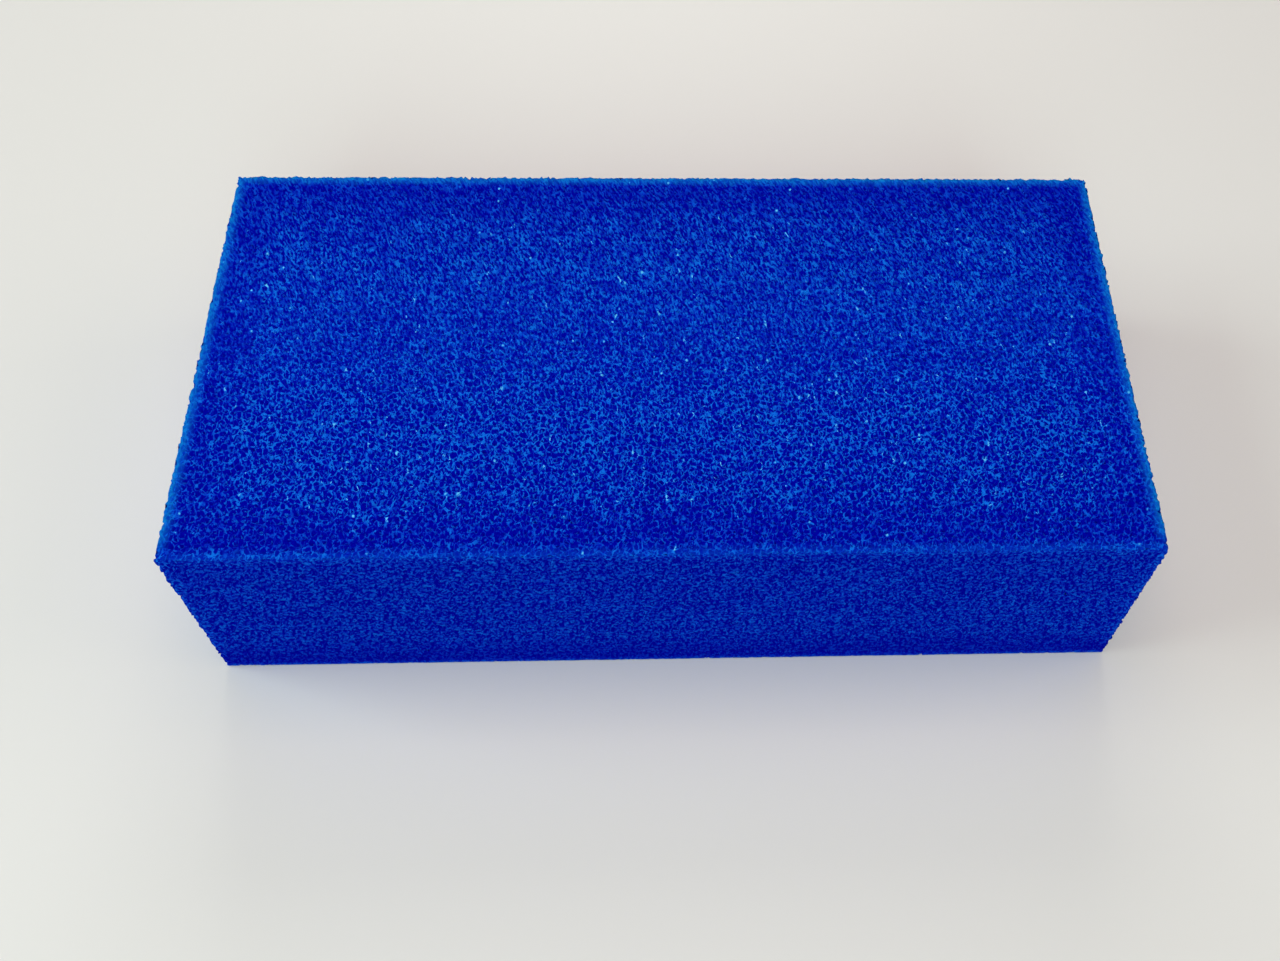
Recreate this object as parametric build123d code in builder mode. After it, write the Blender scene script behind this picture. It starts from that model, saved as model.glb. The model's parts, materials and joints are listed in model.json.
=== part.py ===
from build123d import *
import os

# Foam block: one cuboid sawn from open-cell filter foam, lying on its largest face.
# It is a single piece with nothing inside it. Millimetres, +Z up, the origin at the
# middle of the underside, with the long side along X.

# Size of the cut block
length = 200.0
width = 100.0
thickness = 50.0

# The blade leaves the foam square, and the loose strands at its rims wear back a little.
upright_corner_radius = 0.8  # the four corners that stand up, seen from above
rim_radius = 0.5  # the edges round the top face and the underside

os.makedirs("parts", exist_ok=True)


# Foam block
with BuildPart() as foam_block:
    with BuildSketch(Plane.XY) as footprint:
        RectangleRounded(length, width, upright_corner_radius)
    extrude(amount=thickness)
    level_faces = foam_block.faces().filter_by(Axis.Z)
    fillet(level_faces.edges(), rim_radius)

foam_block.part.label = "foam_block"
export_step(foam_block.part, "parts/foam_block.step")
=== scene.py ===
import json
import math

import bmesh
import bpy
import numpy as np
from mathutils import Matrix, Vector

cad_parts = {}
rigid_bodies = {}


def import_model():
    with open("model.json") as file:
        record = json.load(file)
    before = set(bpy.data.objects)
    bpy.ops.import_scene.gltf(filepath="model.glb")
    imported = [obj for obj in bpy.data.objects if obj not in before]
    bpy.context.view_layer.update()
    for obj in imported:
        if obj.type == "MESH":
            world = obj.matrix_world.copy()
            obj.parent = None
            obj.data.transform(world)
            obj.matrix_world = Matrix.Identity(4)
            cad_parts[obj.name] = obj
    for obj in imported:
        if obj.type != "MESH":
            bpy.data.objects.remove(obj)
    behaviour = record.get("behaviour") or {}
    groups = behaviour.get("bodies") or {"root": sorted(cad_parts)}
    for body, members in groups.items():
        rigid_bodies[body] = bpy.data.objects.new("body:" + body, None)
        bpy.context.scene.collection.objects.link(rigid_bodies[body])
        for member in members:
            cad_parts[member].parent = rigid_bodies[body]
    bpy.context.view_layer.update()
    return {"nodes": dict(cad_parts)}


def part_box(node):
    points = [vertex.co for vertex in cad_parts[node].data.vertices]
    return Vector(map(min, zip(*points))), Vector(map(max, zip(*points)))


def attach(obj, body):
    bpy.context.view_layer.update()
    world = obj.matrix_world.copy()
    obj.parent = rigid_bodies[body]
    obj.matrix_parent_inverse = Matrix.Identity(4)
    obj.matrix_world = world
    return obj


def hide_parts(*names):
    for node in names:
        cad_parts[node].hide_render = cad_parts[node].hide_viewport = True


# A block of blue open-cell foam, lying on a pale sheet. Metres, as the frame has them.

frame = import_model()
blockLow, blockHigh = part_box("foam_block")
print("Frame loaded:", ", ".join(sorted(frame["nodes"])))


# Camera, where the photograph was taken from
cameraSetup = {
    "turn": 5.67,  # degrees clockwise, seen from above, from looking straight at the front face
    "down": 57.83,  # degrees below the horizon
    "tilt": 4.36,  # degrees that the picture is rolled
    "place": (-0.0002, -0.1752, 0.2861),  # of the lens
    "imageWidth": 1280,  # pixels of the photograph
    "imageHeight": 961,
    "focalPixels": 1346.1,  # the focal length, in those pixels
    "axisPixel": (740.7, 457.8),  # where the lens axis meets the picture
    "sensorWidth": 36.0,  # millimetres
    "nearest": 0.01,  # nothing nearer to the lens than this is shown
}


def placeCamera(setup):
    turn, down, tilt = (math.radians(setup[k]) for k in ("turn", "down", "tilt"))
    ahead = Vector((math.sin(turn) * math.cos(down), math.cos(turn) * math.cos(down), -math.sin(down)))
    level = Vector((math.cos(turn), -math.sin(turn), 0.0))
    upright = level.cross(ahead)
    right = level * math.cos(tilt) + upright * math.sin(tilt)
    above = upright * math.cos(tilt) - level * math.sin(tilt)

    bpy.ops.object.camera_add()
    eye = bpy.context.object
    eye.name = "photoCamera"
    aim = Matrix((right, above, -ahead)).transposed()
    eye.matrix_world = Matrix.Translation(setup["place"]) @ aim.to_4x4()
    lens = eye.data
    width, height = setup["imageWidth"], setup["imageHeight"]
    lens.sensor_width = setup["sensorWidth"]
    lens.lens = setup["focalPixels"] * setup["sensorWidth"] / width
    lens.shift_x = (width / 2 - setup["axisPixel"][0]) / width
    lens.shift_y = (setup["axisPixel"][1] - height / 2) / width
    lens.clip_start = setup["nearest"]
    bpy.context.scene.camera = eye


placeCamera(cameraSetup)
print("Camera placed")


# A socket that takes part in plain sums. Each sum adds its Math node to the board.
class Signal:
    def __init__(self, board, socket):
        self.board, self.socket = board, socket

    def __add__(self, other):
        return self.board.maths("ADD", self, other)

    def __radd__(self, other):
        return self.board.maths("ADD", other, self)

    def __sub__(self, other):
        return self.board.maths("SUBTRACT", self, other)

    def __rsub__(self, other):
        return self.board.maths("SUBTRACT", other, self)

    def __mul__(self, other):
        return self.board.maths("MULTIPLY", self, other)

    def __rmul__(self, other):
        return self.board.maths("MULTIPLY", other, self)


# The board holds the nodes of one material, world or modifier.
class Board:
    def __init__(self, tree):
        self.nodes, self.links = tree.nodes, tree.links
        self.nodes.clear()

    # One node: its type, its settings, the values or links of its sockets, and which outputs are wanted
    def add(self, kind, settings=None, sockets=None, out=0):
        node = self.nodes.new(kind)
        for key, value in (settings or {}).items():
            if key == "stops":
                self.setStops(node.color_ramp, value)
            else:
                setattr(node, key, value)
        for key, value in (sockets or {}).items():
            if isinstance(value, Signal):
                self.links.new(value.socket, node.inputs[key])
            else:
                node.inputs[key].default_value = value
        if isinstance(out, tuple):
            return [Signal(self, node.outputs[key]) for key in out]
        return Signal(self, node.outputs[out]) if node.outputs else node

    def setStops(self, ramp, stops):
        anywhere = 0.5  # each stop gets its own place below
        for _ in stops[2:]:
            ramp.elements.new(anywhere)
        for element, (position, colour) in zip(ramp.elements, stops):
            element.position = position
            element.color = colour

    def maths(self, operation, *values):
        return self.add("ShaderNodeMath", {"operation": operation}, dict(enumerate(values)))

    def larger(self, a, b):
        return self.maths("MAXIMUM", a, b)

    def smaller(self, a, b):
        return self.maths("MINIMUM", a, b)

    # from least to 1, as the share goes from 0 to 1
    def fade(self, share, least):
        return least + share * (1 - least)

    # 0 below low and 1 above high, with a soft step between; low above high turns it round
    def step(self, value, low, high):
        return self.add("ShaderNodeMapRange", {"interpolation_type": "SMOOTHSTEP"},
                        {"Value": value, "From Min": low, "From Max": high})

    def noise(self, place, size, detail=1.0):
        return self.add("ShaderNodeTexNoise", {}, {"Vector": place, "Scale": 1 / size, "Detail": detail})

    # Voronoi cells: how far the spot is from the nearest wall between two of them
    def walls(self, place, size):
        return self.add("ShaderNodeTexVoronoi", {"feature": "DISTANCE_TO_EDGE"},
                        {"Vector": place, "Scale": 1 / size})

    # The same cells: how far the spot is from its cell's middle, and that cell's own chance
    def cells(self, place, size):
        distance, colour = self.add("ShaderNodeTexVoronoi", {}, {"Vector": place, "Scale": 1 / size},
                                    out=("Distance", "Color"))
        return distance, self.add("ShaderNodeSeparateXYZ", {}, {0: colour})


def rgb(red, green, blue):
    return (red, green, blue, 1.0)


# Foam: a cuboid skin cut into irregular cells, each one sunk to a pit between raised strands
foam = {
    "proud": (0.0001, 0.0005, 0.0009),  # how far the strands stand out past the ends, long sides and top
    "cellPitch": (0.00113, 0.00171, 0.00121),  # between cells along each axis
    "rimRadius": 0.00016,  # of the block's first bevel
    "worn": 0.0005,  # how far the edges and corners have then worn round
    "mergedShare": 0.11,  # cells that open into a neighbour, as larger pores
    "underShare": 0.62,  # the same on the underside, which rests out of sight
    "splitShare": 0.015,  # gaps between cells that hold one more, small one
    "drift": 0.0004,  # how far whole groups of cells are pushed together
    "driftSize": 0.0045,  # of such a group
    "driftWaves": 24,  # that add up to the drift
    "passes": 5,  # one of drift, and then those in which each cell strays by itself
    "wander": 0.00026,  # how far the cells stray at each pass
    "pitDepth": 0.9,  # of the distance from a pore's middle to its strands
    "rimBand": 0.0022,  # the width along the edges where cells move less and pits are shallower
    "rimMove": 0.2,  # how much of a move is left at the edges
    "rimPit": 0.55,  # how much of a pit's depth is left there
    "footPit": 0.1,  # the same where the block stands on the floor
    "strandRise": 0.00008,  # how unevenly the blade left the strands
    "edgeRise": 3.0,  # how many times more unevenly it left them along the edges
    "seed": 7,  # of the random numbers
}


def read(items, what, size=3):
    values = np.empty(len(items) * size, np.float32)
    items.foreach_get(what, values)
    return values.reshape(-1, size)


# The bevel gives its points and faces in any order. Laid down by place, they are the same in each run.
def layInOrder(mesh):
    places = read(mesh.vertices, "co")
    decimals = 6
    order = np.lexsort(np.round(places, decimals).T)
    ranks = np.argsort(order)
    faces = []
    for face in mesh.polygons:
        corners = [int(ranks[k]) for k in face.vertices]
        first = corners.index(min(corners))
        faces.append(corners[first:] + corners[:first])
    mesh.clear_geometry()
    mesh.from_pydata(places[order].tolist(), [], sorted(faces))
    mesh.update()


def startSkin(setup, low, high):
    bpy.ops.object.select_all(action="DESELECT")
    bpy.ops.mesh.primitive_cube_add(size=1, location=(low + high) / 2, scale=high - low)
    block = bpy.context.object
    block.name = "foamBlock"
    bpy.ops.object.transform_apply(location=True, rotation=True, scale=True)
    bpy.ops.object.mode_set(mode="EDIT")
    bpy.ops.mesh.select_all(action="SELECT")
    bpy.ops.mesh.bevel(offset=setup["rimRadius"], segments=1, affect="EDGES")
    bpy.ops.object.mode_set(mode="OBJECT")
    layInOrder(block.data)
    bpy.ops.object.mode_set(mode="EDIT")

    # rows of points along each side, in two steps, as one step makes a hundred rows at most
    straight = 0.9  # of an edge's length, where it counts as running along the axis
    bpy.context.tool_settings.mesh_select_mode = (False, True, False)
    for axis, length in enumerate(high - low):
        rows = (length - 2 * setup["rimRadius"]) / setup["cellPitch"][axis]
        for cuts in (1, round(rows / 2) - 1):
            sketch = bmesh.from_edit_mesh(block.data)
            for edge in sketch.edges:
                run = edge.verts[1].co - edge.verts[0].co
                edge.select_set(abs(run[axis]) > straight * run.length)
            sketch.select_flush_mode()
            bmesh.update_edit_mesh(block.data)
            bpy.ops.mesh.subdivide(number_cuts=cuts)
    return block


def rimDistance(places, low, high):  # from the nearest edge of the block, for points on its skin
    depths = np.minimum(places - np.array(low), np.array(high) - places)
    return np.sort(depths, 1)[:, 1]


# Points go and come, so that the cells differ in size.
def mixCells(block, setup, low, high, dice):
    bpy.context.tool_settings.mesh_select_mode = (True, False, False)
    bpy.ops.mesh.select_all(action="SELECT")
    bpy.ops.mesh.quads_convert_to_tris()
    sketch = bmesh.from_edit_mesh(block.data)
    places = np.array([point.co for point in sketch.verts])
    inSight = places[:, 2] > low.z + setup["rimRadius"] / 2
    share = np.where(inSight, setup["mergedShare"], setup["underShare"])
    goes = (dice.random(len(places)) < share) & (rimDistance(places, low, high) > setup["rimBand"] / 2)
    for point, chosen in zip(sketch.verts, goes):
        point.select_set(bool(chosen))
    sketch.select_flush_mode()
    bmesh.update_edit_mesh(block.data)
    bpy.ops.mesh.dissolve_verts()
    bpy.ops.mesh.select_all(action="SELECT")
    bpy.ops.mesh.quads_convert_to_tris()

    bpy.context.tool_settings.mesh_select_mode = (False, False, True)
    bpy.ops.mesh.select_all(action="DESELECT")
    bpy.ops.mesh.select_random(ratio=setup["splitShare"], seed=setup["seed"])
    bpy.ops.mesh.poke()
    bpy.ops.object.mode_set(mode="OBJECT")


def movePoints(mesh, places):
    mesh.vertices.foreach_set("co", np.ascontiguousarray(places, np.float32).ravel())
    mesh.update()


def mark(mesh, name, domain, values):
    mesh.attributes.new(name, "FLOAT", domain).data.foreach_set("value", values.astype(np.float32))


def alongSkin(mesh, moves):
    normals = read(mesh.vertices, "normal")
    return moves - (moves * normals).sum(1, keepdims=True) * normals


# Groups of points drift together, then each one strays by itself, and the lines between them turn to suit.
def loosen(block, setup, low, high, dice):
    mesh = block.data
    waves = dice.normal(0, math.pi / setup["driftSize"], (setup["driftWaves"], 3))
    pushes = dice.normal(0, setup["drift"] / math.sqrt(setup["driftWaves"] / 2), waves.shape)
    starts = dice.uniform(0, 2 * math.pi, len(waves))
    places = read(mesh.vertices, "co")
    moves = alongSkin(mesh, np.sin(places @ waves.T + starts) @ pushes)
    for _ in range(setup["passes"]):
        inward = np.clip(rimDistance(places, low, high) / setup["rimBand"], setup["rimMove"], 1)[:, None]
        movePoints(mesh, places + moves * inward)
        bpy.ops.object.mode_set(mode="EDIT")
        bpy.ops.mesh.select_all(action="SELECT")
        bpy.ops.mesh.beautify_fill()
        bpy.ops.object.mode_set(mode="OBJECT")
        places = read(mesh.vertices, "co")
        moves = alongSkin(mesh, dice.uniform(-1, 1, places.shape) * setup["wander"])


# Every point becomes a cell, and three strands meet at each corner of it.
def swapPointsForCells(block):
    steps = bpy.data.node_groups.new("cellsFromPoints", "GeometryNodeTree")
    for direction in ("INPUT", "OUTPUT"):
        steps.interface.new_socket("Geometry", in_out=direction, socket_type="NodeSocketGeometry")
    board = Board(steps)
    given = board.add("NodeGroupInput")
    cells = board.add("GeometryNodeDualMesh", {}, {0: given})
    board.add("NodeGroupOutput", {}, {0: cells})
    modifier = block.modifiers.new("cellsFromPoints", "NODES")
    modifier.node_group = steps
    bpy.ops.object.modifier_apply(modifier=modifier.name)


def roundOff(places, low, high, radius):  # the block's edges and corners
    tiny = 1e-9  # so that nothing is divided by zero
    inner = np.clip(places, np.array(low) + radius, np.array(high) - radius)
    reach = np.linalg.norm(places - inner, axis=1, keepdims=True)
    return inner + (places - inner) * np.minimum(1, radius / np.maximum(reach, tiny))


# The middle of each cell sinks, and the strands round it are left standing.
def sinkPores(block, setup, low, high, dice):
    mesh = block.data
    strandPoints = len(mesh.vertices)
    middles, normals = read(mesh.polygons, "center"), read(mesh.polygons, "normal")
    facing = np.abs(normals).argmax(1)
    upAxis = 2
    mark(mesh, "level", "FACE", facing == upAxis)
    mark(mesh, "facing", "FACE", np.where(normals[np.arange(len(facing)), facing] > 0, facing + 3, facing))

    bpy.ops.object.mode_set(mode="EDIT")
    bpy.ops.mesh.select_all(action="SELECT")
    bpy.ops.mesh.poke(offset=-setup["pitDepth"], use_relative_offset=True, center_mode="MEDIAN_WEIGHTED")
    bpy.ops.object.mode_set(mode="OBJECT")

    places, normals = read(mesh.vertices, "co"), read(mesh.vertices, "normal")
    atFoot = places[:, 2] < low.z + setup["rimBand"]
    least = np.where(atFoot, setup["footPit"], setup["rimPit"])
    share = np.clip(rimDistance(places, low, high) / setup["rimBand"], least, 1)[:, None]
    places[strandPoints:] = middles + (places[strandPoints:] - middles) * share[strandPoints:]
    rise = dice.normal(0, setup["strandRise"], len(places))[:, None]
    atEdge = rimDistance(places, low, high) < setup["rimBand"] / 2
    rise[atEdge & (places[:, 2] > low.z + setup["rimBand"])] *= setup["edgeRise"]
    places = roundOff(places, low, high, setup["worn"]) + normals * rise * share
    places[:, 2] = np.maximum(places[:, 2], low.z)
    movePoints(mesh, places)
    mark(mesh, "strand", "POINT", np.arange(len(places)) < strandPoints)


# One square map for the bake. Each side of the block has its own rectangle on it.
def layOutMap(block, low, high):
    mesh = block.data
    length, width, thickness = high - low
    # by the axis that a side faces, plus 3 on the far side: axes across and up, corner on the map, scale
    rectangles = {
        5: (0, 1, (0, 0), 1),  # top
        1: (0, 2, (0, width), 1),  # front
        4: (0, 2, (0, width + thickness), 1),  # back
        0: (1, 2, (0, width + 2 * thickness), 1),  # left
        3: (1, 2, (width, width + 2 * thickness), 1),  # right
        2: (1, 0, (length, 0), 0.5),  # underside
    }
    margin = 0.005  # of a rectangle, left free all round it
    mapWidth = max(length + thickness, width + 3 * thickness)
    facing = np.repeat(read(mesh.attributes["facing"].data, "value", 1)[:, 0], 3)
    corners = read(mesh.vertices, "co")[read(mesh.loops, "vertex_index", 1)[:, 0].astype(int)]
    shares = (corners - np.array(low)) / np.array(high - low)
    spots = np.zeros((len(corners), 2), np.float32)
    for side, (across, up, corner, scale) in rectangles.items():
        on = facing == side
        for k, axis in enumerate((across, up)):
            extent = (high - low)[axis] * scale
            spots[on, k] = (corner[k] + extent * (margin + (1 - 2 * margin) * shares[on, axis])) / mapWidth
    mesh.uv_layers.new(name="OFBake").uv.foreach_set("vector", spots.ravel())


def buildFoam(setup, low, high):
    dice = np.random.default_rng(setup["seed"])
    block = startSkin(setup, low, high)
    mixCells(block, setup, low, high, dice)
    loosen(block, setup, low, high, dice)
    swapPointsForCells(block)
    sinkPores(block, setup, low, high, dice)
    layOutMap(block, low, high)
    bpy.ops.object.shade_smooth()
    return block


# The foam's colour runs from the dark of an open pore, partly painted shade of its depth, to the brightest
# strands; the last stop is reached only by knots and painted glints.
foamFinish = {
    "tones": [
        (0.0, rgb(0.0001, 0.0006, 0.335)),
        (0.25, rgb(0.0003, 0.0095, 0.44)),
        (0.5, rgb(0.0010, 0.0390, 0.545)),
        (0.75, rgb(0.0022, 0.0890, 0.65)),
        (0.9, rgb(0.0040, 0.1500, 0.75)),
        (1.0, rgb(0.1000, 0.5200, 0.95)),
    ],

    # the grain: how far the patterns run for each metre of the block, where less draws them out
    "grainLean": 0.2,  # how far the grain leans from the width
    "grainBow": 3.3,  # and how much more for each metre towards the back
    "grainAcross": 1.25,  # along the length and the height
    "grainAlong": (0.56, 1.6),  # along the width, and how much less for each metre towards the back
    "netAlong": (0.95, 1.2),  # the same for the rounder net

    # the patterns' sizes
    "breakSize": 0.00068,  # how often a strand fades along its way
    "windowSize": 0.0014,  # the smaller openings seen inside the cut cells
    "netSize": 0.0015,  # a rounder net of strands, seen in the front half
    "patchSize": 0.001,  # pale spots on that net
    "clumpSize": 0.0017,  # lighter and darker handfuls of cells
    "clumpDetail": 2.0,  # how ragged they are
    "coarseSize": 0.00408,  # larger handfuls
    "knotSize": 0.0015,  # the space round each knot of strands
    "glintSize": 0.0018,  # and round each spot of painted glint

    # where each pattern starts to show and where it shows in full
    "steps": {
        "strand": (0.4, 0.9),
        "break": (0.34, 0.66),
        "window": (0.26, 0.03),
        "net": (0.18, 0.03),
        "patch": (0.54, 0.68),
        "clump": (0.25, 0.75),
        "knot": (0.45, 0.1),
        "knotChance": (0.8, 0.95),
        "glint": (0.34, 0.12),
        "glintChance": (0.93, 0.985),
        "farTone": (0.14, 0.84),
        "nearTone": (0.1, 0.7),
    },

    # how strongly each one shows; tones go from 0 to 1
    "fadedStrand": 0.45,  # what is left of a strand where it fades
    "farStrand": 0.45,  # what is left of the strands at the cut in the back half
    "nearDeeper": 0.65,  # what the deeper strands lose in the front half
    "webShare": (0.42, 0.18),  # how far the tone follows the strands, and how much more in the front half
    "netShare": (0.3, 0.35),  # of the net, and what it gains where strands don't fade
    "patchShare": 0.55,
    "nearContrast": 1.35,  # of the front half's pattern
    "nearDarker": 0.095,  # and how much darker it is, as painted shade
    "clumpShare": (0.42, 0.54, 0.1),  # the tone left in the darkest ones, and what the two sizes add to it
    "knotGain": (0.04, 0.2),  # on all sides, and what the top adds
    "strandTop": 0.88,  # the brightest that a strand is without knots and glints

    # the block's faces and edges, mostly painted light and shade, with widths in metres
    "nearWidth": (0.03, -0.03),  # where the back half's look turns into the front half's
    "topEdgeShadeWidth": (0.015, 0.003),  # painted shade: the darker margin of the top
    "topEdgeShadeDepth": 0.26,  # the share of its tone that the margin loses
    "outerWidth": (0.035, 0.005),  # painted shade: the top darkens again towards its long edges
    "outerDrop": (0.07, 0.035),  # by how much, and what the front adds
    "topLevel": (1.06, 0.08),  # the top's painted light level, and what its long edges lose
    "footHeight": 0.016,  # up to where the upright sides are painted darker towards the floor, as shade
    "sideLevel": (0.55, 0.38),  # their painted light level at the floor, and what they gain above it
    "sideDrop": 0.095,  # painted shade: how much darker they are than the top
    "sideContrast": 0.95,  # on the upright sides less is seen of the pores' depth
    "footLine": 0.0018,  # the thin line at the floor, lit from it
    "footGain": 0.55,  # how much paler that line is
    "rimWidth": 0.0038,  # the band along the edges, painted paler with light, and closer in tone
    "rimGain": 0.2,  # how much paler it is
    "rimCloser": 0.2,  # how much closer to one tone it is
    "closeTone": 0.38,  # that tone
    "sideRim": 0.55,  # how much of the band shows on the upright sides

    # the lip along the edges, where light comes through
    "lipColour": rgb(0.003, 0.2, 0.62),
    "lipWidth": 0.0028,
    "lipEdge": 0.001,  # the outermost part of it
    "lipShare": (0.2, 0.7, 0.3),  # all over the lip, on its strands, and in the outermost part
    "sideLip": 0.35,  # how much of it shows on the upright sides
    "frontLip": 0.14,  # and along the front edges
    "frontWidth": (0.001, 0.006),  # how far these edges reach back

    "roughness": (0.9, 0.55),  # of a pore and of a strand
    "bumpHeight": 0.00012,
    "bumpStrength": 0.6,
    "shine": 0.01,  # the foam is nearly matt
}


def foamMaterial(finish, low, high):
    material = bpy.data.materials.new("blueFoam")
    material.use_nodes = True
    board = Board(material.node_tree)
    steps = finish["steps"]
    spot = board.add("ShaderNodeTexCoord", out="Object")
    x, y, z = board.add("ShaderNodeSeparateXYZ", {}, {0: spot}, out=(0, 1, 2))
    strand, level = (board.add("ShaderNodeAttribute", {"attribute_name": name}, out="Fac")
                     for name in ("strand", "level"))
    upright = 1 - level
    near = board.step(y, *finish["nearWidth"])

    # how far the spot is from the nearest edge of the block
    middle = (low + high) / 2
    fromEnd = high.x - board.maths("ABSOLUTE", x)
    fromSide = high.y - board.maths("ABSOLUTE", y)
    fromFace = high.z - middle.z - board.maths("ABSOLUTE", z - middle.z)
    edge = board.larger(board.smaller(fromEnd, fromSide),
                        board.smaller(board.larger(fromEnd, fromSide), fromFace))
    overFoot = board.step(z, 0.0, finish["footHeight"])

    # patterns lean and bow with the grain, and are longer along it
    leaning = (x + y * (finish["grainLean"] + y * finish["grainBow"])) * finish["grainAcross"]
    place, netPlace = (board.add("ShaderNodeCombineXYZ", {}, {
        0: leaning,
        1: y * (along - y * less),
        2: z * finish["grainAcross"],
    }) for along, less in (finish["grainAlong"], finish["netAlong"]))

    # strands at the cut, and deeper ones seen through some of the pores; the pits between the cut strands
    # are painted darker, as shade of their depth
    lively = board.step(board.noise(place, finish["breakSize"]), *steps["break"])
    faded = board.fade(lively, finish["fadedStrand"])
    cutStrands = board.step(strand, *steps["strand"]) * faded * board.fade(near, finish["farStrand"])
    windows = board.step(board.walls(place, finish["windowSize"]), *steps["window"])
    deeper = windows * faded * (1 - near * finish["nearDeeper"])
    web = board.larger(cutStrands, deeper)

    # the rounder net and its patches, and lighter and darker handfuls of cells
    netBase, netLively = finish["netShare"]
    netLevel = netBase + lively * netLively
    net = board.step(board.walls(netPlace, finish["netSize"]), *steps["net"]) * netLevel
    patches = board.step(board.noise(netPlace, finish["patchSize"]), *steps["patch"])
    clumps = board.step(board.noise(place, finish["clumpSize"], finish["clumpDetail"]), *steps["clump"])
    coarse = board.step(board.noise(place, finish["coarseSize"]), *steps["clump"])

    # knots of strands, and on the top a few painted glints, highlights on spots that catch the light
    fromKnot, knotChance = board.cells(place, finish["knotSize"])
    knots = board.step(fromKnot, *steps["knot"]) * board.step(knotChance, *steps["knotChance"])
    fromGlint, glintChance = board.cells(spot, finish["glintSize"])
    glints = board.step(fromGlint, *steps["glint"]) * board.step(glintChance, *steps["glintChance"]) * level

    # the tone of the cells, which is the net's on the front half of the top
    webBase, webNear = finish["webShare"]
    farTone = board.step(lively + (web - lively) * (webBase + near * webNear), *steps["farTone"])
    nearTone = board.step(net + patches * finish["patchShare"], *steps["nearTone"])
    nearTone = nearTone * finish["nearContrast"] - finish["nearDarker"]
    darkest, clumpGain, coarseGain = finish["clumpShare"]
    tone = farTone + (nearTone - farTone) * near * level
    tone = tone * (darkest + clumps * clumpGain + coarse * coarseGain)

    # painted light and shade on the top and on the upright sides
    topEdgeShade = 1 - board.step(edge, *finish["topEdgeShadeWidth"]) * finish["topEdgeShadeDepth"]
    outer = board.step(fromSide, *finish["outerWidth"])
    topBase, outerLess = finish["topLevel"]
    sideBase, sideGain = finish["sideLevel"]
    onTop = topEdgeShade * (topBase - outer * outerLess)
    onSides = sideBase + overFoot * sideGain
    tone = tone * (level * onTop + upright * onSides) - finish["sideDrop"]
    outerDrop, nearDrop = finish["outerDrop"]
    tone = tone + level * (finish["sideDrop"] - outer * (outerDrop + near * nearDrop))

    # painted light: the pale band along the edges, and the thin line at the floor
    rimBand = board.step(edge, finish["rimWidth"], 0.0) * overFoot * board.fade(level, finish["sideRim"])
    closer = board.larger(rimBand * finish["rimCloser"], upright * (1 - finish["sideContrast"]))
    foot = board.step(z, finish["footLine"], 0.0) * upright
    tone = tone + (finish["closeTone"] - tone) * closer
    tone = tone + rimBand * finish["rimGain"] + foot * finish["footGain"]

    knotBase, knotTop = finish["knotGain"]
    tone = board.smaller(tone, finish["strandTop"]) + knots * (knotBase + level * knotTop)
    colour = board.add("ShaderNodeValToRGB", {"stops": finish["tones"]}, {0: board.larger(tone, glints)})

    # the lip where light comes through, least along the front edges
    lipBase, lipWeb, lipOuter = finish["lipShare"]
    lip = board.step(edge, finish["lipWidth"], 0.0) * (lipBase + web * lipWeb)
    lip = lip + board.step(edge, finish["lipEdge"], 0.0) * lipOuter
    fromFront = board.step(y, *(low.y + width for width in finish["frontWidth"]))
    lip = lip * overFoot * board.fade(fromFront, finish["frontLip"]) * board.fade(level, finish["sideLip"])
    colour = board.add("ShaderNodeMix", {"data_type": "RGBA"}, {
        0: lip,
        6: colour,
        7: finish["lipColour"],
    }, out=2)

    bump = board.add("ShaderNodeBump", {}, {
        "Height": web,
        "Distance": finish["bumpHeight"],
        "Strength": finish["bumpStrength"],
    })
    poreRough, strandRough = finish["roughness"]
    shader = board.add("ShaderNodeBsdfPrincipled", {}, {
        "Base Color": colour,
        "Roughness": poreRough + web * (strandRough - poreRough),
        "Specular IOR Level": finish["shine"],
        "Normal": bump,
    })
    board.add("ShaderNodeOutputMaterial", {}, {"Surface": shader})
    return material


# The skin stands on the floor where the block does, and reaches past it on all other sides.
proud = Vector(foam["proud"])
foamLow = blockLow - Vector((proud.x, proud.y, 0.0))
foamHigh = blockHigh + proud
block = buildFoam(foam, foamLow, foamHigh)
block.data.materials.clear()
block.data.materials.append(foamMaterial(foamFinish, foamLow, foamHigh))
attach(block, "root")
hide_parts("foam_block")
print("Foam made:", len(block.data.polygons), "triangles")


# Floor and light
studio = {
    "floorSize": 2.4,  # it ends short of the soft boxes
    "floorColour": rgb(0.72, 0.72, 0.72),
    "floorRoughness": 0.45,
    "skyLevel": 0.18,  # the even light from all round
    "skyColour": rgb(1.0, 0.82, 0.90),
    "backdropColour": rgb(0.72, 0.70, 0.67),
}

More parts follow.
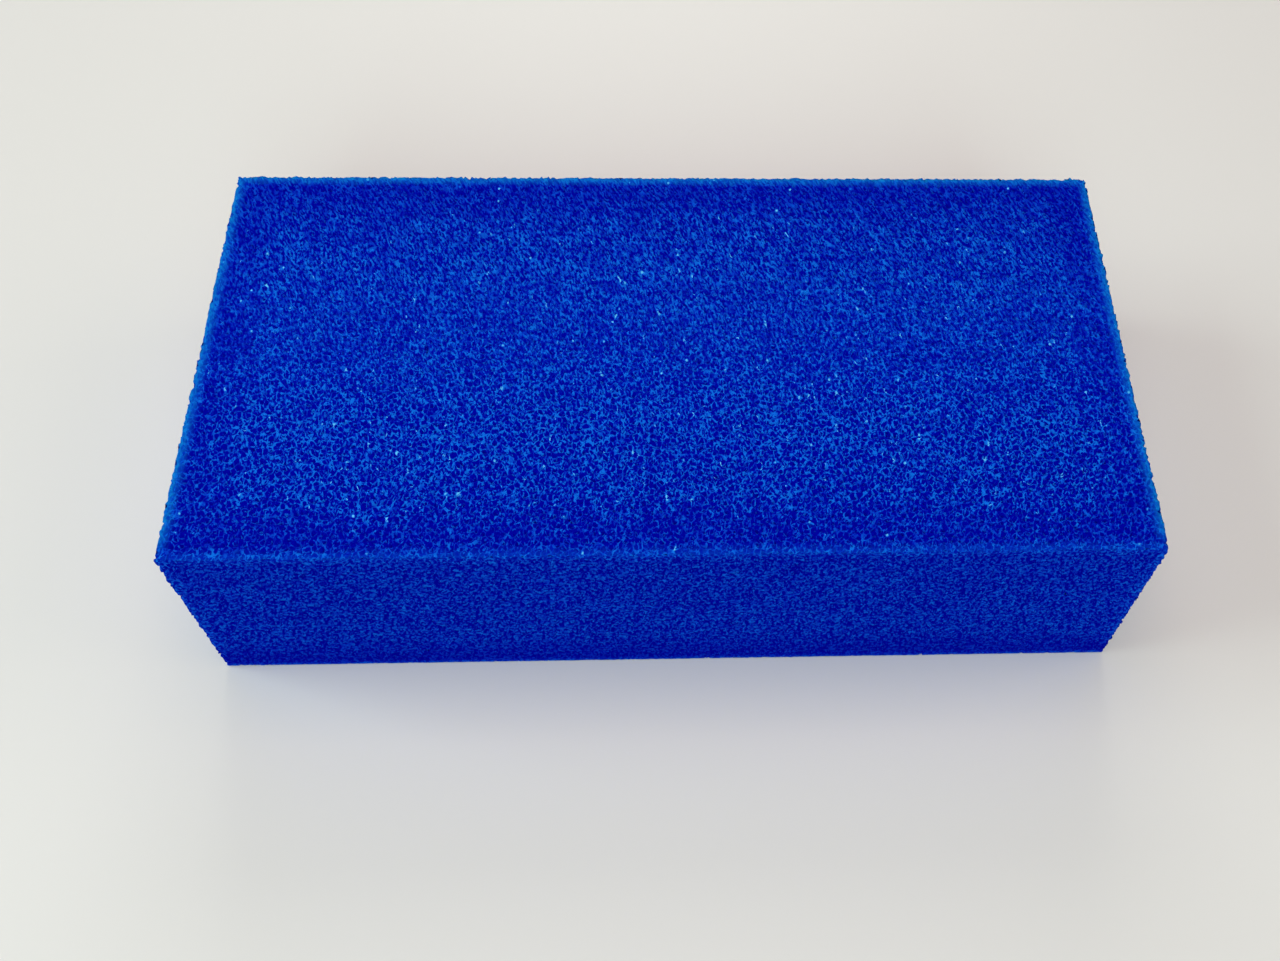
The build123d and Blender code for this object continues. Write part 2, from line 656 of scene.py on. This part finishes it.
# Soft boxes: where each stands, its side in metres, its watts and its colour
softBoxes = {
    "leftBox": ((-1.3, 0.0, 0.9), 0.9, 12.7, (0.85, 1.0, 0.94)),
    "frontBox": ((0.0, -1.3, 0.9), 0.9, 13.0, (0.77, 1.0, 0.955)),
    "topBox": ((0.0, 0.0, 1.5), 1.0, 5.8, (1.0, 0.71, 0.55)),
    "rightBox": ((1.3, 0.0, 0.9), 0.9, 3.4, (1.0, 0.87, 0.79)),
    "backBox": ((0.0, 1.3, 0.9), 0.9, 7.5, (1.0, 0.99, 0.93)),
}


def layFloor(setup):
    bpy.ops.object.select_all(action="DESELECT")
    bpy.ops.mesh.primitive_plane_add(size=setup["floorSize"], location=(0, 0, 0))
    floor = bpy.context.object
    floor.name = "floorSheet"
    material = bpy.data.materials.new("paleSheet")
    material.use_nodes = True
    board = Board(material.node_tree)
    shader = board.add("ShaderNodeBsdfPrincipled", {}, {
        "Base Color": setup["floorColour"],
        "Roughness": setup["floorRoughness"],
    })
    board.add("ShaderNodeOutputMaterial", {}, {"Surface": shader})
    floor.data.materials.append(material)


def lightStudio(setup, boxes):
    world = bpy.data.worlds.new("softRoom")
    bpy.context.scene.world = world
    world.use_nodes = True
    board = Board(world.node_tree)
    seen = board.add("ShaderNodeLightPath", out="Is Camera Ray")
    light = board.add("ShaderNodeBackground", {}, {
        "Color": setup["skyColour"],
        "Strength": setup["skyLevel"],
    })
    backdrop = board.add("ShaderNodeBackground", {}, {"Color": setup["backdropColour"]})
    either = board.add("ShaderNodeMixShader", {}, {0: seen, 1: light, 2: backdrop})
    board.add("ShaderNodeOutputWorld", {}, {"Surface": either})

    for name, (place, side, watts, colour) in boxes.items():
        bpy.ops.object.light_add(type="AREA", location=place)
        lamp = bpy.context.object
        lamp.name = name
        lamp.data.size = side
        lamp.data.energy = watts
        lamp.data.color = colour
        lamp.rotation_mode = "QUATERNION"
        lamp.rotation_quaternion = (-Vector(place)).to_track_quat("-Z", "Y")


layFloor(studio)
lightStudio(studio, softBoxes)
bpy.context.scene.view_settings.view_transform = "Standard"
print("Floor and light set")
